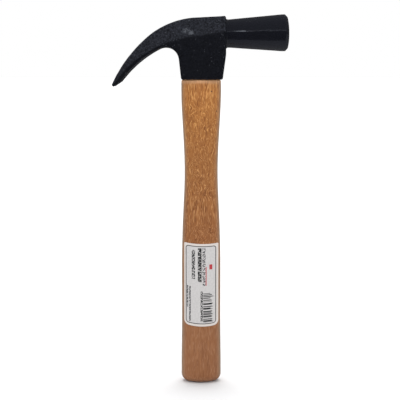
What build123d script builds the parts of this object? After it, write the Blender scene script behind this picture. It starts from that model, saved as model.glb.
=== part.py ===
# Claw hammer with a 27 mm face: a cast steel head wedged onto a hardwood handle.
#
# Millimetres. The origin is the centre of the flat butt. +Z runs up the handle,
# +X points to the striking face, the claw points to -X, and the label faces -Y.

from build123d import *

import os
from math import cos, radians, sin, tan

# Driving dimensions
face_diameter = 27.0  # the size a claw hammer is sold by
seat_height = 227.4  # underside of the head above the butt
block_height = 46.3  # head height above the seat, at the face-side corner
face_reach = 64.8  # striking face from the handle's axis

# Eye block, seen from the side and measured from the seat
block_foot_front = 15.8
block_foot_back = -14.7
block_front = 18.3  # the front wall leans out up to front_lean_height, then stands upright
front_lean_height = 18.5
top_front = 18.1
top_slope = 3.0  # degrees the top falls towards the claw
top_run = 22.5
corner_radius = 1.2
foot_radius = 0.9

# Claw, seen from the side
crown_radius = 58.5
crown_sweep = 37.6  # degrees
claw_back_radius = 101.8
claw_back_sweep = 24.9
claw_nose = (-64.5, -5.2)
tip_bevel_start = (-58.8, -1.4)
claw_belly_radius = 82.7
claw_root = (-17.9, 27.8)
claw_root_fillet = 9.8

# Upright slices across the head, from the face side to the claw tips: place along X, height of the
# widest line above the seat, half width there, and how far the sides lean in above and below it
facet_slices = [
    (19.0, 34.8, 13.0, 13.4, 1.5),
    (7.0, 33.2, 13.0, 13.4, 1.5),
    (-5.0, 31.5, 13.0, 13.4, 1.5),
    (-16.0, 29.6, 13.0, 13.4, 1.5),
    (-28.0, 25.4, 12.8, 12.4, 3.5),
    (-41.0, 18.6, 12.4, 11.2, 8.0),
    (-54.0, 8.4, 11.8, 9.6, 12.0),
    (-67.0, -5.3, 10.9, 8.6, 14.0),
]
slice_rise = 16.0  # slices end this far above the widest line
slice_foot = -12.0  # and at this height, well below the claw

# Nail slot between the prongs, wider on the inner side of the claw to seat a nail's head
slot_apex = (-31.0, 33.0)
slot_angle = 36.0  # degrees the slot falls below level
slot_length = 54.0
slot_apex_half_width = 0.9
slot_tip_half_width = 4.2
slot_outer_depth = 9.0
slot_inner_depth = 14.0
slot_flare = 9.0  # degrees each wall leans on the inner side

# Striking end
poll_axis_height = 33.5  # above the seat at the handle's axis
poll_tilt = 0.8  # degrees the axis rises towards the face
poll_start = 10.0  # buried in the block
poll_start_radius = 9.5
neck_fillet = 1.4
rim_land = 2.4
rim_chamfer = 1.9
face_land_radius = 3.0
face_crown = 1.1  # drop from the flat centre to the chamfer
face_radius = face_diameter / 2
chamfer_end = face_reach - face_crown
chamfer_start = chamfer_end - rim_chamfer

# Eye through the block: height above the seat, length along X, width along Y
eye_sections = [(-1.0, 24.0, 15.6), (20.0, 22.4, 14.4), (48.0, 25.4, 15.0)]
eye_corner = 6.6

# Handle: height, half width along X, half depth along Y
handle_sections = [
    (0.0, 14.75, 11.3),
    (15.0, 14.8, 11.3),
    (35.0, 14.55, 11.1),
    (65.0, 14.4, 11.0),
    (95.0, 14.4, 10.9),
    (124.0, 13.6, 10.2),
    (158.0, 12.3, 9.3),
    (196.0, 13.8, 10.1),
    (216.0, 14.7, 10.7),
    (seat_height, 14.65, 10.8),
]
butt_radius = 6.0
shoulder_radius = 1.2

# Tenon end, sawn along the slope of the head's top and left just below it
tenon_end_back = (-16.0, 43.2)
tenon_end_front = (16.0, 45.6)
tenon_end_height = 44.4  # at the handle's axis
above_head = 60.0

# Wooden wedge along the eye, in a saw kerf that runs a little deeper
wood_wedge_thickness = 3.6
wood_wedge_tip = 1.0
wood_wedge_depth = 28.0
kerf_depth = 31.0

# Two steel wedges driven across the wooden one
steel_wedge_names = ["steel_wedge_claw_side", "steel_wedge_face_side"]
steel_wedge_places = [-6.5, 6.5]  # along X
steel_wedge_width = 11.0
steel_wedge_thickness = 2.0
steel_wedge_tip = 0.4
steel_wedge_depth = 15.0

# Paper label on the handle
label_thickness = 0.15
label_left = -12.6
label_right = 12.8
label_bottom = 43.6
label_top = 105.8
label_top_corner = 0.8
label_bottom_corner = 3.2

side_reach = 30.0  # half the depth of cutters that run right through

side_plane = Plane(origin=(0, 0, seat_height), x_dir=(1, 0, 0), z_dir=(0, -1, 0))
end_plane = Plane(origin=(0, 0, seat_height), x_dir=(0, 1, 0), z_dir=(1, 0, 0))
poll_plane = Plane(
    origin=(0, 0, seat_height + poll_axis_height),
    x_dir=(cos(radians(poll_tilt)), 0, sin(radians(poll_tilt))),
    z_dir=(0, -1, 0),
)
slot_plane = Plane(
    origin=(slot_apex[0], 0, seat_height + slot_apex[1]),
    x_dir=(-cos(radians(slot_angle)), 0, -sin(radians(slot_angle))),
    z_dir=(-sin(radians(slot_angle)), 0, cos(radians(slot_angle))),
)


def slice_outline(height, half_width, upper_lean, lower_lean):
    """Corners of a six-sided slice across the head, widest at the given height."""
    top_half = half_width - slice_rise * tan(radians(upper_lean))
    foot_half = half_width - (height - slice_foot) * tan(radians(lower_lean))
    return [
        (-top_half, height + slice_rise),
        (top_half, height + slice_rise),
        (half_width, height),
        (foot_half, slice_foot),
        (-foot_half, slice_foot),
        (-half_width, height),
    ]


def wedge_outline(centre, depth, thickness, tip):
    """Corners of a wedge pointing down, with the given thickness at the tenon's end."""
    rise = 4  # the wedge is first made this much too long, then trimmed with the tenon
    growth = (thickness - tip) / 2 * rise / depth
    return [
        (centre - tip / 2, tenon_end_height - depth),
        (centre + tip / 2, tenon_end_height - depth),
        (centre + thickness / 2 + growth, tenon_end_height + rise),
        (centre - thickness / 2 - growth, tenon_end_height + rise),
    ]


def half_ovals(growth):
    """Label-side halves of the handle's oval slices, from butt to shoulder, each grown outwards."""
    slices = []
    for height, half_length, half_depth in handle_sections:
        with BuildSketch(Plane.XY.offset(height)) as oval:
            Ellipse(half_length + growth, half_depth + growth)
            split(bisect_by=Plane.XZ)
        slices.append(oval.sketch)
    return slices


# Envelope of the head's side facets
with BuildPart() as envelope:
    for x, height, half_width, upper_lean, lower_lean in facet_slices:
        with BuildSketch(end_plane.offset(x)):
            with BuildLine():
                Polyline(slice_outline(height, half_width, upper_lean, lower_lean), close=True)
            make_face()
    loft()

# Hollow of the eye, narrowest part-way up so that the wedged tenon can't pull out
with BuildPart() as eye:
    for height, length, width in eye_sections:
        with BuildSketch(Plane.XY.offset(seat_height + height)):
            RectangleRounded(length, width, eye_corner)
    loft()

# Head
with BuildPart() as head:
    # Side outline of the eye block and the claw
    with BuildSketch(side_plane):
        with BuildLine():
            top_line = Line(
                (top_front, block_height),
                (
                    top_front - top_run * cos(radians(top_slope)),
                    block_height - top_run * sin(radians(top_slope)),
                ),
            )
            crown = JernArc(top_line @ 1, top_line % 1, crown_radius, crown_sweep)
            claw_back = JernArc(crown @ 1, crown % 1, claw_back_radius, claw_back_sweep)
            Polyline(claw_back @ 1, claw_nose, tip_bevel_start)
            RadiusArc(tip_bevel_start, claw_root, claw_belly_radius)
            Polyline(
                claw_root,
                (block_foot_back, 0),
                (block_foot_front, 0),
                (block_front, front_lean_height),
                (top_front, block_height),
            )
        side_face = make_face()
        fillet(side_face.vertices().sort_by_distance(claw_root)[0], claw_root_fillet)
    extrude(amount=side_reach, both=True)
    add(envelope.part, mode=Mode.INTERSECT)

    # Soften the front wall's corners, the corners from the back wall to the belly, and the foot
    front_wall = head.faces().filter_by_position(Axis.X, block_foot_front, block_front)
    fillet(front_wall.edges().filter_by(Axis.Y, reverse=True), corner_radius)
    underside = head.faces().filter_by_position(Axis.Z, seat_height + 1, seat_height + 25)
    belly = underside.filter_by_position(Axis.X, tip_bevel_start[0], block_foot_back)
    belly = belly.filter_by_position(Axis.Y, -1, 1)
    fillet(belly.edges().filter_by(Axis.Y, reverse=True), corner_radius)
    foot = head.faces().filter_by(Axis.Z).sort_by(Axis.Z)[0]
    fillet(foot.edges(), foot_radius)

    # Poll, rim and crowned face, turned about one tilted axis
    with BuildSketch(poll_plane):
        with BuildLine():
            side = Polyline(
                (face_reach, 0),
                (poll_start, 0),
                (poll_start, poll_start_radius),
                (chamfer_start - rim_land, face_radius),
                (chamfer_start, face_radius),
                (chamfer_end, face_radius - rim_chamfer),
            )
            land = Line((face_reach, 0), (face_reach, face_land_radius))
            TangentArc(land @ 1, side @ 1, tangent=land % 1)
        make_face()
    revolve(axis=Axis(poll_plane.origin, poll_plane.x_dir))
    wall_edges = head.edges().filter_by_position(Axis.X, block_front - 0.5, block_front + 0.5)
    fillet(wall_edges.sort_by(SortBy.LENGTH)[-1], neck_fillet)

    # Eye and nail slot
    add(eye.part, mode=Mode.SUBTRACT)
    with BuildSketch(slot_plane) as slot_outline:
        with BuildLine():
            slot_side = Line((0, slot_apex_half_width), (slot_length, slot_tip_half_width))
            slot_end = Line(slot_side @ 1, (slot_length, -slot_tip_half_width))
            other_side = Line(slot_end @ 1, (0, -slot_apex_half_width))
            ThreePointArc(other_side @ 1, (-slot_apex_half_width, 0), slot_side @ 0)
        make_face()
    extrude(amount=slot_outer_depth, mode=Mode.SUBTRACT)
    with BuildSketch(-slot_plane):
        add(slot_outline.sketch_local)
    extrude(amount=slot_inner_depth, taper=-slot_flare, mode=Mode.SUBTRACT)

# Everything above the tenon's sawn end
with BuildPart() as above_tenon:
    with BuildSketch(side_plane):
        with BuildLine():
            Polyline(
                tenon_end_back,
                tenon_end_front,
                (tenon_end_front[0], above_head),
                (tenon_end_back[0], above_head),
                close=True,
            )
        make_face()
    extrude(amount=side_reach, both=True)

# Steel wedges
steel_wedges = {}
for name, place in zip(steel_wedge_names, steel_wedge_places):
    with BuildPart() as steel_wedge:
        with BuildSketch(side_plane):
            with BuildLine():
                Polyline(
                    wedge_outline(place, steel_wedge_depth, steel_wedge_thickness, steel_wedge_tip),
                    close=True,
                )
            make_face()
        extrude(amount=steel_wedge_width / 2, both=True)
        add(above_tenon.part, mode=Mode.SUBTRACT)
    steel_wedges[name] = steel_wedge.part

# Wooden wedge, as long as the eye
with BuildPart() as wood_wedge:
    with BuildSketch(end_plane):
        with BuildLine():
            Polyline(
                wedge_outline(0, wood_wedge_depth, wood_wedge_thickness, wood_wedge_tip),
                close=True,
            )
        make_face()
    extrude(amount=side_reach, both=True)
    add(eye.part, mode=Mode.INTERSECT)
    add(above_tenon.part, mode=Mode.SUBTRACT)
    kerf_filling = wood_wedge.part
    for steel_wedge in steel_wedges.values():
        add(steel_wedge, mode=Mode.SUBTRACT)

# Handle: oval grip and neck, with a tenon that fills the eye
with BuildPart() as handle:
    loft(half_ovals(0))
    mirror(about=Plane.XZ)
    fillet(handle.edges().group_by(Axis.Z)[0], butt_radius)
    fillet(handle.edges().group_by(Axis.Z)[-1], shoulder_radius)
    add(eye.part)
    add(above_tenon.part, mode=Mode.SUBTRACT)
    with BuildSketch(end_plane):
        with BuildLine():
            Polyline(
                wedge_outline(0, kerf_depth, wood_wedge_tip, wood_wedge_tip),
                close=True,
            )
        make_face()
    extrude(amount=side_reach, both=True, mode=Mode.SUBTRACT)
    add(kerf_filling, mode=Mode.SUBTRACT)
    for steel_wedge in steel_wedges.values():
        add(steel_wedge, mode=Mode.SUBTRACT)

# Label: a thin sheet wrapped round the near side of the grip
with BuildPart() as label:
    loft(half_ovals(label_thickness))
    with BuildSketch(Plane.XZ):
        with BuildLine():
            Polyline(
                (label_left, label_bottom),
                (label_right, label_bottom),
                (label_right, label_top),
                (label_left, label_top),
                close=True,
            )
        outline = make_face()
        fillet(outline.vertices().group_by(Axis.Y)[0], label_bottom_corner)
        fillet(outline.vertices().group_by(Axis.Y)[-1], label_top_corner)
    extrude(amount=side_reach, mode=Mode.INTERSECT)
    add(handle.part, mode=Mode.SUBTRACT)

pieces = {
    "head": head.part,
    "handle": handle.part,
    "wood_wedge": wood_wedge.part,
    **steel_wedges,
    "label": label.part,
}
os.makedirs("parts", exist_ok=True)
for name, piece in pieces.items():
    piece.label = name
    export_step(piece, f"parts/{name}.step")
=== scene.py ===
# Looks of a claw hammer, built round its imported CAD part. Metres, in the CAD part's frame:
# +Z runs up the handle, +X points to the striking face, and the label faces -Y, towards the camera.

from collections import namedtuple
from math import cos, pi, radians, sin, sqrt

import bpy
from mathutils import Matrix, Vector, noise
from mathutils.bvhtree import BVHTree


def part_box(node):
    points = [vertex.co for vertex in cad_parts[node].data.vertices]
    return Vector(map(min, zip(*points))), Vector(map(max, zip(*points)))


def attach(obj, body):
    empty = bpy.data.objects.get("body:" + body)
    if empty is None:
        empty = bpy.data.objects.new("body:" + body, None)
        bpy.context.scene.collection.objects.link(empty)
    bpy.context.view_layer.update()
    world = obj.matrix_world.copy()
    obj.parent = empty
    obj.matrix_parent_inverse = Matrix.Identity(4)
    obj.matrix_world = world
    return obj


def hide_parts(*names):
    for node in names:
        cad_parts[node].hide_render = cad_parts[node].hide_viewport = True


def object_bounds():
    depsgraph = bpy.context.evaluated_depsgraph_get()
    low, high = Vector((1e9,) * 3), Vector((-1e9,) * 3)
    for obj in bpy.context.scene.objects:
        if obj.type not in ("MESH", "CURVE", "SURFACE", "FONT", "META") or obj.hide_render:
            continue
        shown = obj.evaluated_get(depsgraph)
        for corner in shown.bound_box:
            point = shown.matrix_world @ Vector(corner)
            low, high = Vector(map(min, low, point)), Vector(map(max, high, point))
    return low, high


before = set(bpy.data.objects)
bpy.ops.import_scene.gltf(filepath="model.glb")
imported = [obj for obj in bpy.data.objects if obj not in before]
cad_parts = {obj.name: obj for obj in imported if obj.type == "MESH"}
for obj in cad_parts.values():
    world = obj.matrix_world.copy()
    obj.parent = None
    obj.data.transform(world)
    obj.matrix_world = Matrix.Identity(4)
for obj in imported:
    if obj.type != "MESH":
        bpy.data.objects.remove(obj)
cad_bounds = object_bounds()

mm = 0.001
low, high = cad_bounds
label_low, label_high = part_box("label")
seat = 227.4 * mm  # underside of the eye block
block_front = 18.3 * mm  # where the eye block ends and the poll begins
poll_axis = seat + 33.75 * mm  # height of the poll's middle where it leaves the block

# Camera
camera_distance = 0.9
camera_pitch = radians(6)
camera_lens = 108.13
camera_shift = Vector((-0.4 * mm, 0, 0))  # from the middle of the part to the point looked at

# Head: an even mesh, its side ridge and neck softened, then roughened like a casting
head_voxel = 0.4 * mm
half_width = 13.0 * mm
ridge_depth = 0.4 * mm  # how near the widest point a place must be to count as the ridge
ridge_claw_end = -0.05, -0.02  # x over which the softening of the ridge fades in
ridge_passes = 40
neck_radius = 10.2 * mm
neck_reach = 2.6 * mm
neck_passes = 30
lump_size, lump_height = 6 * mm, 0.07 * mm
peel_size, peel_height = 1.3 * mm, 0.03 * mm
poll_roughness = 0.4  # the poll's roughness, as a share of the cast block's

# Label: a paper sheet that follows the handle
label_columns, label_rows = 96, 160
label_top_corner, label_bottom_corner = 0.9 * mm, 3.2 * mm
label_top_sag, label_bottom_sag = 0.7 * mm, 1.3 * mm  # how far each edge hangs in the middle
label_lean = 0.25 * mm  # how much higher than the middle its left side sits
paper_thickness = 0.1 * mm
paper_gap = 0.04 * mm
ripple_size, ripple_height = 7 * mm, 0.03 * mm

# ---------------------------------------------------------------- shader helpers


class Nodes:
    """Short calls that add shader nodes to one tree and return an output of each."""

    def __init__(self, tree):
        self.tree = tree
        tree.nodes.clear()

    def plug(self, value, socket):
        """Feeds an input with another node's output or with a plain value."""
        if isinstance(value, bpy.types.NodeSocket):
            self.tree.links.new(value, socket)
        else:
            socket.default_value = value

    def add(self, kind, inputs, output=0, **settings):
        node = self.tree.nodes.new("ShaderNode" + kind)
        for name, value in settings.items():
            setattr(node, name, value)
        for key, value in inputs.items():
            self.plug(value, node.inputs[key])
        return node.outputs[output]

    def end(self, kind, shader):
        """Plugs the finished shader into the tree's output."""
        node = self.tree.nodes.new("ShaderNodeOutput" + kind)
        self.plug(shader, node.inputs["Surface"])

    def math(self, operation, *values):
        return self.add("Math", dict(enumerate(values)), operation=operation)

    def vector(self, operation, *values):
        return self.add("VectorMath", dict(enumerate(values)), operation=operation)

    def vector_length(self, vector):
        return self.add("VectorMath", {0: vector}, "Value", operation="LENGTH")

    def split(self, vector):
        """The x, y and z of a vector."""
        node = self.tree.nodes.new("ShaderNodeSeparateXYZ")
        self.plug(vector, node.inputs[0])
        return node.outputs

    def place(self):
        """The shaded point in millimetres, in the CAD part's frame."""
        point = self.add("TexCoord", {}, "Object")
        return self.vector("MULTIPLY", point, (1000, 1000, 1000))

    def normal(self):
        return self.add("NewGeometry", {}, "Normal")

    def noise(self, place, stretch, detail=2.0, roughness=0.5, output="Fac"):
        """Noise with this many lumps to the millimetre along each axis."""
        stretched = self.vector("MULTIPLY", place, stretch)
        inputs = {"Vector": stretched, "Scale": 1.0, "Detail": detail, "Roughness": roughness}
        return self.add("TexNoise", inputs, output)

    def ramp(self, value, start, end, low=0.0, high=1.0):
        """A smooth change from low at start to high at end."""
        inputs = {0: value, 1: start, 2: end, 3: low, 4: high}
        return self.add("MapRange", inputs, interpolation_type="SMOOTHSTEP")

    def band(self, value, start, end, soft, outside=0.0, inside=1.0):
        """The inside value between start and end, changing to the outside one over the soft width."""
        rise = self.ramp(value, start - soft, start)
        fall = self.ramp(value, end, end + soft, 1.0, 0.0)
        share = self.math("MULTIPLY", rise, fall)
        return self.math("MULTIPLY_ADD", share, inside - outside, outside)

    def mix(self, share, first, second):
        """A colour that goes from first to second as share goes from 0 to 1."""
        inputs = {0: share, 6: first, 7: second}
        return self.add("Mix", inputs, 2, data_type="RGBA")

    def blend(self, share, first, second):
        """A number that goes from first to second as share goes from 0 to 1."""
        return self.add("Mix", {0: share, 2: first, 3: second}, data_type="FLOAT")

    def stops(self, value, start, end, colours):
        """A colour that passes through (value, colour) stops placed between start and end."""
        node = self.tree.nodes.new("ShaderNodeValToRGB")
        share = self.math("DIVIDE", self.math("SUBTRACT", value, start), end - start)
        self.plug(share, node.inputs[0])
        elements = node.color_ramp.elements
        while len(elements) < len(colours):
            elements.new(1.0)
        for element, (place, colour) in zip(elements, colours):
            element.position = (place - start) / (end - start)
            element.color = colour
        return node.outputs[0]

    def bump(self, height, distance, normal=None):
        """A bumped normal, where height 0 to 1 stands for distance in metres."""
        inputs = {"Height": height, "Distance": distance, "Strength": 1.0}
        if normal is not None:
            inputs["Normal"] = normal
        return self.add("Bump", inputs)

    def box(self, x, z, left, right, bottom, top, soft=0.12):
        """1 inside a box across x and z, with soft edges."""
        return self.math("MULTIPLY", self.band(x, left, right, soft), self.band(z, bottom, top, soft))

    def past_side(self, value, start, end, radius):
        """How far a value is past the place where the corner at the nearer end begins."""
        from_middle = self.math("ABSOLUTE", self.math("SUBTRACT", value, (start + end) / 2))
        return self.math("SUBTRACT", from_middle, (end - start) / 2 - radius)

    def outside_box(self, x, z, box):
        """How far a point is outside a box with rounded corners, below 0 if it is inside."""
        left, right, bottom, top, radius = box
        across = self.past_side(x, left, right, radius)
        along = self.past_side(z, bottom, top, radius)
        corner = {0: self.math("MAXIMUM", across, 0.0), 1: self.math("MAXIMUM", along, 0.0)}
        outside = self.vector_length(self.add("CombineXYZ", corner))
        inside = self.math("MINIMUM", self.math("MAXIMUM", across, along), 0.0)
        return self.math("SUBTRACT", self.math("ADD", outside, inside), radius)

    def surface(self, **inputs):
        """Ends a material with a Principled shader."""
        named = {name.replace("_", " "): value for name, value in inputs.items()}
        self.end("Material", self.add("BsdfPrincipled", named))


def new_material(name):
    material = bpy.data.materials.new(name)
    material.use_nodes = True
    return material, Nodes(material.node_tree)


def rgb(red, green, blue):
    return (red, green, blue, 1.0)


# ---------------------------------------------------------------- values of the materials, in mm

# Paint: each pair is the darkest and the lightest tone of a mottle
even_paint = rgb(0.0021, 0.0024, 0.0042), rgb(0.0056, 0.0062, 0.0102)
# Painted highlight: the lighter mottle on up-facing faces stands in for light from above caught by
# the bumps
painted_highlight_mottle = rgb(0.0028, 0.0030, 0.0045), rgb(0.025, 0.027, 0.036)
poll_paint = rgb(0.0060, 0.0065, 0.0096)
# Painted highlight on the claw's downward faces near the tip
claw_tip_highlight = rgb(0.040, 0.042, 0.050)
# Painted glints: the colour of small bright dots where bumps catch the light
glint_paint = rgb(0.095, 0.10, 0.115)
scuff_and_highlight_paint = rgb(0.100, 0.108, 0.124)
cool_shine = rgb(0.82, 0.86, 1.0)
cast_end = 17.0, 19.5  # x over which the casting's roughness gives way to the poll's smoothness

# Pale scuff marks on the paint, and a painted highlight, as (centre, reach along each axis)
scuffs_and_poll_highlight = [
    ((-11.2, -13.0, 263.4), (2.9, 2.0, 2.0)),
    ((-7.4, -13.0, 261.6), (2.2, 2.0, 1.5)),
    # Painted highlight: a thin pale streak along the poll, standing in for the glint of light on it
    ((29.8, -10.7, 262.6), (4.8, 3.0, 0.5)),
]

# Colour of the wood from the butt up, as (height, colour): partly the wood's own tone and partly
# painted light, lighter towards the top where the light from above falls stronger
wood_tones_and_light = [
    (0.0, rgb(0.352, 0.141, 0.051)),
    (40.0, rgb(0.334, 0.134, 0.048)),
    (110.0, rgb(0.347, 0.126, 0.031)),
    (165.0, rgb(0.405, 0.155, 0.032)),
    (205.0, rgb(0.450, 0.168, 0.029)),
    (219.0, rgb(0.505, 0.195, 0.038)),
    (230.0, rgb(0.545, 0.225, 0.059)),
]
dark_grain = 0.53, 0.40, 0.22  # share of the wood's red, green and blue in its dark grain
light_grain = 1.42, 1.78, 2.60  # and in its light grain
# Painted sheen: the colour the varnish takes where it is seen edge-on
painted_edge_sheen = rgb(0.35, 0.255, 0.175)
# Painted light: the pale colour of the shoulder just under the head, lifting the shade cast by the
# head
painted_shoulder_light = rgb(0.74, 0.43, 0.24)
knot_wood = rgb(0.05, 0.018, 0.008)

# Small dark knots in the wood, as (centre, radius)
knots = [((7.6, -9.2, 218.8), 0.8), ((11.5, -6.0, 204.2), 0.8)]

# Wedges
pale_wood = rgb(0.34, 0.19, 0.09), rgb(0.56, 0.36, 0.19)
pore_wood = rgb(0.16, 0.08, 0.035)
rolled_steel = rgb(0.34, 0.34, 0.35), rgb(0.17, 0.155, 0.145)

# Label
paper = rgb(0.54, 0.525, 0.52), rgb(0.60, 0.585, 0.58)
paper_margin = rgb(0.67, 0.62, 0.585)
dark_ink = rgb(0.018, 0.018, 0.02)
grey_ink = rgb(0.06, 0.06, 0.065)
red_ink = rgb(0.46, 0.045, 0.055)

# A row of print runs along z round its middle in x. Blank is the share of it without ink.
PrintRow = namedtuple("PrintRow", "middle bottom top half_width strokes_per_mm blank ink")
print_rows = [
    PrintRow(2.1, 74.5, 102.6, 1.1, 1.0, 0.50, grey_ink),
    PrintRow(-1.05, 77.3, 102.6, 1.35, 1.05, 0.45, dark_ink),
    PrintRow(-5.75, 79.3, 101.0, 1.15, 1.1, 0.47, dark_ink),
    PrintRow(0.45, 47.4, 70.2, 0.8, 1.3, 0.46, dark_ink),
    PrintRow(-8.3, 46.6, 73.4, 0.5, 1.2, 0.44, grey_ink),
    PrintRow(-10.1, 57.4, 73.6, 0.45, 1.2, 0.46, grey_ink),
]

# The other print, as (left, right, bottom, top)
red_marks = [(6.1, 8.2, 86.6, 90.2), (3.45, 3.95, 74.5, 88.6)]
bars_box = 1.6, 9.6, 46.8, 68.6
shortest_bar, longest_bar = 6.6, 9.4  # x where a bar ends

# Border line, as (left, right, bottom, top, corner radius)
border_box = -11.15, 10.85, 45.6, 103.9, 1.8


# ---------------------------------------------------------------- materials


def black_paint():
    """Black paint over a rough casting: mottle on the claw and block, with painted highlight where
    they face up and painted glints, smoother on the poll.
    """
    material, n = new_material("black_paint")
    place = n.place()
    x = n.split(place)[0]
    cast = n.ramp(x, *cast_end, 1.0, 0.0)
    grit = n.noise(place, (1.3, 1.3, 1.3), 3.0, 0.65)

    tone = n.mix(cast, poll_paint, cast_tone(n, place, grit))
    # Painted glints on the cast part
    tone = n.mix(n.math("MULTIPLY", painted_glints(n, place), cast), tone, glint_paint)
    # Pale scuff marks, and the painted highlight streak along the poll
    for centre, reach in scuffs_and_poll_highlight:
        tone = n.mix(scuff_or_highlight_share(n, place, grit, centre, reach), tone, scuff_and_highlight_paint)

    # The poll's shine is broken up, and clearest near the block
    broken = n.ramp(n.noise(place, (0.45, 0.45, 0.45), 1.0), 0.44, 0.56, 0.08, 0.17)
    poll_dullness = n.math("MULTIPLY", broken, n.band(x, 25.5, 33.0, 1.5, 1.0, 0.55))
    peel_depth = n.ramp(cast, 0.0, 1.0, 0.04 * mm, 0.17 * mm)
    peel = n.bump(n.noise(place, (0.75, 0.75, 0.75), 2.0), peel_depth)
    n.surface(
        Base_Color=tone,
        Roughness=n.blend(cast, poll_dullness, 0.33),
        Normal=n.bump(n.math("MULTIPLY", grit, cast), 0.11 * mm, peel),
        Specular_IOR_Level=0.5,
        Specular_Tint=cool_shine,
    )
    return material


def cast_tone(n, place, grit):
    """The rough paint's colour: where it faces up, a lighter mottle that is painted highlight,
    standing in for light from above caught by the casting's bumps; elsewhere even and dark.
    """
    slope = n.split(n.normal())[2]
    mottle = n.noise(place, (0.95, 0.95, 0.95), 3.0, 0.7)
    even = n.mix(n.ramp(grit, 0.36, 0.66), *even_paint)
    painted_highlight = n.mix(n.ramp(mottle, 0.38, 0.64), *painted_highlight_mottle)
    tone = n.mix(n.ramp(slope, 0.03, 0.22), even, painted_highlight)

    # Painted highlight: the claw's downward faces are paler near the tip, standing in for the light
    # its edge catches
    near_tip = n.ramp(n.split(place)[0], -42.0, -34.0, 1.0, 0.0)
    underside_highlight = n.math("MULTIPLY", n.ramp(slope, -0.7, -0.4, 0.7, 0.0), near_tip)
    return n.mix(underside_highlight, tone, claw_tip_highlight)


def painted_glints(n, place):
    """Painted glints: small bright dots standing in for light caught by the steepest bumps of the
    paint, gathered in loose groups.
    """
    from_dot = n.add("TexVoronoi", {"Vector": place, "Scale": 0.5}, "Distance")
    grouped = n.ramp(n.noise(place, (0.3, 0.3, 0.3), 1.0), 0.42, 0.50)
    return n.math("MULTIPLY", n.ramp(from_dot, 0.08, 0.15, 0.9, 0.0), grouped)


def scuff_or_highlight_share(n, place, grit, centre, reach):
    """How much of a scuff mark, or of the painted highlight on the poll, shows here. The grit makes
    its edge ragged.
    """
    offset = n.vector("SUBTRACT", place, centre)
    distance = n.vector_length(n.vector("DIVIDE", offset, reach))
    ragged = n.math("ADD", distance, n.ramp(grit, 0.3, 0.7, 0.6, -0.6))
    return n.ramp(ragged, 0.6, 1.0, 0.8, 0.0)


def handle_wood():
    """Reddish-brown hardwood with interlocked grain under a satin varnish."""
    material, n = new_material("handle_wood")
    place = n.place()
    z = n.split(place)[2]
    grain = woven(n, place, z)
    fibres = n.noise(grain, (1.3, 1.3, 0.05), 3.0, 0.65)

    tone = grained_tone(n, place, z, grain, fibres)
    for centre, radius in knots:
        distance = n.vector_length(n.vector("SUBTRACT", place, centre))
        tone = n.mix(n.ramp(distance, 0.4 * radius, radius, 0.85, 0.0), tone, knot_wood)

    # Painted sheen: paler where the varnish is seen edge-on, standing in for its reflection of the
    # bright surroundings. Painted light: paler on the shoulder just under the head, lifting the shade
    # that the head casts there
    tone = n.mix(painted_sheen_share(n), tone, painted_edge_sheen)
    tone = n.mix(n.ramp(z, 223.6, 226.4, 0.0, 0.6), tone, painted_shoulder_light)

    n.surface(
        Base_Color=tone,
        Roughness=n.ramp(fibres, 0.3, 0.7, 0.5, 0.4),
        Normal=n.bump(fibres, 0.05 * mm),
        Coat_Weight=0.3,
        Coat_Roughness=0.25,
    )
    return material


def woven(n, place, z):
    """Places pushed about, so that fibres drawn along z weave where the grain interlocks."""
    weave = n.math("MAXIMUM", n.band(z, 150.0, 200.0, 20.0), n.band(z, 104.0, 116.0, 8.0))
    drift = n.noise(place, (0.11, 0.11, 0.12), 1.0, output="Color")
    drift = n.vector("SUBTRACT", drift, (0.5, 0.5, 0.5))
    reach = n.ramp(weave, 0.0, 1.0, 1.2, 8.0)
    push = n.add("VectorMath", {0: drift, "Scale": reach}, operation="SCALE")
    return n.vector("ADD", place, n.vector("MULTIPLY", push, (1.0, 1.0, 0.2)))


def grained_tone(n, place, z, grain, fibres):
    """The wood's colour with its patches, fibres, streaks, light threads and dark pores."""
    threads = n.noise(grain, (1.9, 1.9, 0.17), 1.0, 0.5)
    pores = n.noise(n.vector("ADD", grain, (37.0, 11.0, 5.0)), (1.4, 1.4, 0.12), 2.0, 0.6)
    streaks = n.noise(grain, (0.42, 0.42, 0.028), 2.0)
    patches = n.noise(place, (0.07, 0.07, 0.03), 2.0)

    # Threads and pores are faint near the butt, and the streaks show in two stretches
    figured = n.ramp(z, 40.0, 100.0, 0.42, 1.0)
    streaky = n.math("MAXIMUM", n.band(z, 116.0, 146.0, 8.0), n.ramp(z, 205.0, 222.0, 0.0, 0.5))

    # Partly painted light: the wood is lighter towards the top
    tone = n.stops(z, 0.0, 230.0, wood_tones_and_light)
    dark = n.vector("MULTIPLY", tone, dark_grain)
    light = n.vector("MULTIPLY", tone, light_grain)
    tone = n.mix(n.ramp(patches, 0.35, 0.75, 0.0, 0.25), tone, dark)
    tone = n.mix(n.ramp(fibres, 0.34, 0.58, 0.38, 0.0), tone, dark)
    tone = n.mix(n.math("MULTIPLY", n.ramp(streaks, 0.36, 0.48, 0.6, 0.0), streaky), tone, dark)
    tone = n.mix(n.math("MULTIPLY", n.ramp(threads, 0.55, 0.64), figured), tone, light)
    return n.mix(n.math("MULTIPLY", n.ramp(pores, 0.34, 0.47, 1.0, 0.0), figured), tone, dark)


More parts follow.
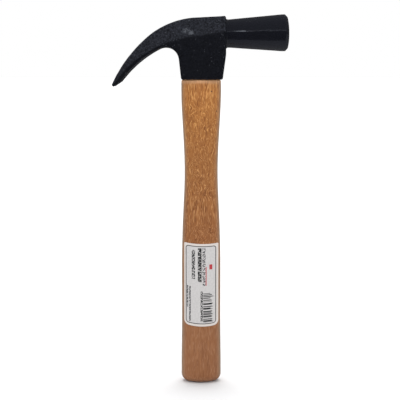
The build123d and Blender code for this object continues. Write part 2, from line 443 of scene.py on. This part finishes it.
def painted_sheen_share(n):
    """How near an upright surface is to the edge of the outline, whatever height it is seen from:
    where the painted sheen goes.
    """
    normal = n.normal()
    sight = n.add("NewGeometry", {}, "Incoming")
    level = n.vector_length(n.vector("MULTIPLY", sight, (1.0, 1.0, 0.0)))
    towards = n.add("VectorMath", {0: normal, 1: sight}, "Value", operation="DOT_PRODUCT")
    turned = n.math("DIVIDE", n.math("ABSOLUTE", towards), n.math("MAXIMUM", level, 0.05))
    upright = n.ramp(n.math("ABSOLUTE", n.split(normal)[2]), 0.1, 0.4, 1.0, 0.0)
    return n.math("MULTIPLY", n.ramp(turned, 0.2, 0.8, 0.75, 0.0), upright)


def bare_wood():
    """Pale sawn wood for the wedge, with its grain running down into the eye."""
    material, n = new_material("bare_wood")
    place = n.place()
    fibres = n.noise(place, (2.5, 2.5, 0.2), 3.0, 0.6)
    pores = n.noise(place, (6.0, 6.0, 0.8), 1.0)
    tone = n.mix(n.ramp(fibres, 0.3, 0.7), *pale_wood)
    tone = n.mix(n.ramp(pores, 0.28, 0.38, 0.7, 0.0), tone, pore_wood)
    n.surface(Base_Color=tone, Roughness=0.75, Normal=n.bump(fibres, 0.1 * mm))
    return material


def bare_steel():
    """Bare rolled steel for the wedges, dulled and scratched where they were driven in."""
    material, n = new_material("bare_steel")
    place = n.place()
    scale = n.noise(place, (0.9, 0.9, 0.9), 4.0, 0.65)
    scratches = n.noise(place, (0.5, 6.0, 6.0), 2.0)
    tone = n.mix(n.ramp(scale, 0.35, 0.7), *rolled_steel)
    rough = n.ramp(scratches, 0.3, 0.7, 0.3, 0.55)
    n.surface(Base_Color=tone, Metallic=1.0, Roughness=rough, Normal=n.bump(scratches, 0.06 * mm))
    return material


def label_paper():
    """White label with a thin border and a generic layout of print: no letters, no readable code."""
    material, n = new_material("label_paper")
    place = n.add("Attribute", {}, "Vector", attribute_name="print_place")
    x, _, z = n.split(place)
    outside = n.outside_box(x, z, border_box)
    speckle = n.noise(place, (0.8, 0.8, 0.8), 3.0)
    tone = n.mix(n.ramp(speckle, 0.3, 0.7), *paper)
    tone = n.mix(n.ramp(outside, 0.0, 0.3), tone, paper_margin)

    for row in print_rows:
        tone = n.mix(row_share(n, place, x, z, row), tone, row.ink)
    tone = n.mix(bars_share(n, place, x, z), tone, dark_ink)
    for mark in red_marks:
        tone = n.mix(n.box(x, z, *mark), tone, red_ink)
    line = n.ramp(n.math("ABSOLUTE", outside), 0.20, 0.34, 1.0, 0.0)
    tone = n.mix(line, tone, dark_ink)
    n.surface(Base_Color=tone, Roughness=0.55, Specular_IOR_Level=0.3)
    return material


def row_share(n, place, x, z, row):
    """Ink of one row: random strokes across it, broken by gaps along it."""
    across = row.middle - row.half_width, row.middle + row.half_width
    inside = n.box(x, z, *across, row.bottom, row.top)
    strokes = n.noise(place, (row.strokes_per_mm * 0.7, 0.0, row.strokes_per_mm), 2.0, 0.7)
    gaps = n.noise(place, (0.0, 0.0, row.strokes_per_mm * 0.22), 0.0)
    stroke = n.ramp(strokes, row.blank - 0.02, row.blank + 0.02)
    inked = n.math("MULTIPLY", stroke, n.ramp(gaps, 0.34, 0.38))
    return n.math("MULTIPLY", inside, inked)


def bars_share(n, place, x, z):
    """Ink of the block of random bars, which are of uneven length."""
    lengths = n.noise(place, (0.0, 0.0, 0.9), 2.0)
    end = n.ramp(lengths, 0.3, 0.7, shortest_bar, longest_bar)
    stripes = n.ramp(n.noise(place, (0.0, 0.0, 0.85), 1.0), 0.49, 0.53, 1.0, 0.0)
    bars = n.math("MULTIPLY", n.box(x, z, *bars_box), stripes)
    return n.math("MULTIPLY", bars, n.math("LESS_THAN", x, end))


# ---------------------------------------------------------------- pieces


def add_object(name, data):
    thing = bpy.data.objects.new(name, data)
    bpy.context.scene.collection.objects.link(thing)
    return thing


def even_copy(node, voxel):
    """A new piece with a CAD node's solid as one even mesh, which stands for that node."""
    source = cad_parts[node]
    piece = add_object(node + "_surface", source.data.copy())
    piece.data.materials.clear()
    remesh = piece.modifiers.new("even_mesh", "REMESH")
    remesh.mode = "VOXEL"
    remesh.voxel_size = voxel
    apply_modifiers(piece)
    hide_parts(node)
    return piece


def apply_modifiers(piece):
    graph = bpy.context.evaluated_depsgraph_get()
    mesh = bpy.data.meshes.new_from_object(piece.evaluated_get(graph), depsgraph=graph)
    piece.modifiers.clear()
    piece.data = mesh


def smooth(piece, weight_at, passes):
    """Relaxes the places where weight_at(place) is above 0."""
    group = piece.vertex_groups.new(name="soft")
    for vertex in piece.data.vertices:
        weight = weight_at(vertex.co)
        if weight > 0:
            group.add([vertex.index], weight, "REPLACE")
    relax = piece.modifiers.new("relax", "SMOOTH")
    relax.factor = 0.5
    relax.iterations = passes
    relax.vertex_group = "soft"
    apply_modifiers(piece)
    piece.vertex_groups.clear()


def step_up(value, start, end):
    """0 below start, 1 above end, smooth between."""
    share = min(1.0, max(0.0, (value - start) / (end - start)))
    return share * share * (3 - 2 * share)


def ridge_weight(place):
    """1 along the ridge on either side of the eye block, 0 away from it."""
    on_block = step_up(place.x, *ridge_claw_end)
    on_block *= 1 - step_up(place.x, block_front - 2 * mm, block_front)
    return on_block * step_up(abs(place.y), half_width - 2 * ridge_depth, half_width - ridge_depth)


def neck_weight(place):
    """1 in the corner where the poll meets the block, 0 away from it."""
    radius = Vector((place.y, place.z - poll_axis)).length
    from_corner = Vector((place.x - block_front, radius - neck_radius)).length
    return 1 - step_up(from_corner, 0.5 * neck_reach, neck_reach)


def roughen(mesh):
    """Gives the head the lumps and the fine peel of painted cast iron, fainter on the poll."""
    normals = [Vector(normal.vector) for normal in mesh.vertex_normals]
    for vertex, normal in zip(mesh.vertices, normals):
        place = vertex.co
        on_poll = step_up(place.x, block_front - 1 * mm, block_front + 2 * mm)
        strength = 1 - (1 - poll_roughness) * on_poll
        lumps = lump_height * noise.noise(place / lump_size)
        peel = peel_height * noise.noise(place / peel_size)
        vertex.co = place + normal * strength * (lumps + peel)


def make_head():
    head = even_copy("head", head_voxel)
    smooth(head, ridge_weight, ridge_passes)
    smooth(head, neck_weight, neck_passes)
    roughen(head.data)
    head.data.shade_smooth()
    return head


def corner_rise(distance, radius):
    """How far a rounded corner's edge stands in, at this distance from the sheet's side."""
    return 0.0 if distance >= radius else radius - sqrt(radius**2 - (radius - distance) ** 2)


def label_column(x, across, wood):
    """One column of the sheet's points on the wood, and where each is on the flat print."""
    side = (label_high.x - label_low.x) / 2 * (1 - abs(across))
    bottom = label_low.z + corner_rise(side, label_bottom_corner)
    top = label_high.z - corner_rise(side, label_top_corner)
    points, prints = [], []
    for row in range(label_rows + 1):
        share = row / label_rows
        z = bottom + (top - bottom) * share
        sag = label_bottom_sag + (label_top_sag - label_bottom_sag) * share
        lift = sag * across**2 - label_lean * across
        in_front = Vector((x, -50 * mm, z + lift))
        place, normal = wood.ray_cast(in_front, Vector((0, 1, 0)))[:2]
        ripple = ripple_height * noise.noise(Vector((x, 0, z)) / ripple_size)
        points.append(place + normal * (paper_gap + paper_thickness + ripple))
        prints.append((x / mm, 0, z / mm))
    return points, prints


def label_mesh():
    """The front of the label, with rounded corners. Its edges hang a little in the middle."""
    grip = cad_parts["handle"].data
    wood = BVHTree.FromPolygons([v.co for v in grip.vertices], [p.vertices[:] for p in grip.polygons])
    points, prints = [], []
    for column in range(label_columns + 1):
        across = -cos(pi * column / label_columns)  # -1 to 1, finer towards the sides
        x = (label_low.x + label_high.x) / 2 + (label_high.x - label_low.x) / 2 * across
        column_points, column_prints = label_column(x, across, wood)
        points += column_points
        prints += column_prints
    stride = label_rows + 1
    faces = [
        (c * stride + r, (c + 1) * stride + r, (c + 1) * stride + r + 1, c * stride + r + 1)
        for c in range(label_columns)
        for r in range(label_rows)
    ]
    mesh = bpy.data.meshes.new("label_sheet")
    mesh.from_pydata(points, [], faces)
    flat = mesh.attributes.new("print_place", "FLOAT_VECTOR", "POINT")
    for index, place in enumerate(prints):
        flat.data[index].vector = place
    mesh.shade_smooth()
    return mesh


def make_label():
    """A sheet of paper on the handle, which stands for the label."""
    sheet = add_object("label_sheet", label_mesh())
    solid = sheet.modifiers.new("paper", "SOLIDIFY")
    solid.thickness = paper_thickness
    solid.offset = -1.0
    apply_modifiers(sheet)
    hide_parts("label")
    return sheet


def dress(piece, material):
    piece.data.materials.clear()
    piece.data.materials.append(material)


def dress_node(node, material):
    """Gives a CAD node that stays in view its material."""
    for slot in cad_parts[node].material_slots:
        slot.link = "OBJECT"
        slot.material = material


head = make_head()
dress(head, black_paint())
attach(head, "root")
dress_node("handle", handle_wood())
dress_node("wood_wedge", bare_wood())
steel = bare_steel()
dress_node("steel_wedge_claw_side", steel)
dress_node("steel_wedge_face_side", steel)
label = make_label()
dress(label, label_paper())
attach(label, "root")


# ---------------------------------------------------------------- stage, light and camera

floor_half = 60.0
floor_tone = rgb(0.675, 0.675, 0.68)
ambient = 0.75  # strength of the world's light on dull surfaces
backdrop = 1.0  # strength of the world where the camera sees it

# What shiny surfaces reflect, by the angle up from the camera's side: 0 is towards the camera,
# 90 straight up, 180 behind the hammer and -90 straight down. Each stop is (angle, brightness).
tent_stops = [
    (-180, 0.03),
    (-100, 0.34),
    (-60, 0.34),
    (-45, 0.045),
    (13.8, 0.05),
    (14.3, 3.0),
    (15.0, 3.0),
    (15.6, 0.20),
    (50, 0.19),
    (80, 0.20),
    (120, 0.16),
    (180, 0.03),
]


def make_floor():
    """A wide pale floor. Shiny surfaces reflect the world's light tent and not this floor."""
    mesh = bpy.data.meshes.new("floor")
    half = floor_half
    corners = [(-half, -half, low.z), (half, -half, low.z), (half, half, low.z), (-half, half, low.z)]
    mesh.from_pydata(corners, [], [(0, 1, 2, 3)])
    floor = add_object("floor", mesh)
    material, n = new_material("floor")
    n.surface(Base_Color=floor_tone, Roughness=0.9, Specular_IOR_Level=0.0)
    mesh.materials.append(material)
    floor.visible_glossy = False


def tent_light(n):
    """Brightness of the light tent in the direction of the ray."""
    _, y, z = n.split(n.add("TexCoord", {}, "Generated"))
    angle = n.math("ARCTAN2", z, n.math("MULTIPLY", y, -1.0))
    brightest = max(brightness for _, brightness in tent_stops)
    greys = []
    for degrees, brightness in tent_stops:
        share = brightness / brightest
        greys.append((radians(degrees), rgb(share, share, share)))
    return n.math("MULTIPLY", n.stops(angle, -pi, pi, greys), brightest)


def make_world():
    """Plain white light from all round, which shiny surfaces see as a light tent."""
    world = bpy.data.worlds.new("studio")
    bpy.context.scene.world = world
    world.use_nodes = True
    n = Nodes(world.node_tree)
    is_glossy = n.add("LightPath", {}, "Is Glossy Ray")
    is_camera = n.add("LightPath", {}, "Is Camera Ray")
    strength = n.blend(is_camera, n.blend(is_glossy, ambient, tent_light(n)), backdrop)
    n.end("World", n.add("Background", {"Color": rgb(1, 1, 1), "Strength": strength}))


def add_soft_sun(name, energy, width, lean):
    """A wide soft light from above. It leans towards the camera, or to the back if below 0."""
    data = bpy.data.lights.new(name, "SUN")
    data.energy = energy
    data.angle = radians(width)
    lamp = add_object(name, data)
    lamp.rotation_euler = (radians(lean), 0, 0)
    lamp.visible_glossy = False


def make_camera():
    data = bpy.data.cameras.new("camera")
    data.lens = camera_lens
    data.sensor_width = 36.0
    data.clip_start = 0.01
    camera = add_object("camera", data)
    target = (low + high) / 2 + camera_shift
    back = Vector((0, -cos(camera_pitch), sin(camera_pitch)))
    camera.location = target + back * camera_distance
    camera.rotation_euler = (pi / 2 - camera_pitch, 0, 0)
    bpy.context.scene.camera = camera


make_floor()
make_world()
add_soft_sun("sky_light", energy=1.3, width=100, lean=20)
add_soft_sun("back_light", energy=2.0, width=40, lean=-20)
make_camera()
bpy.context.scene.view_settings.view_transform = "Standard"
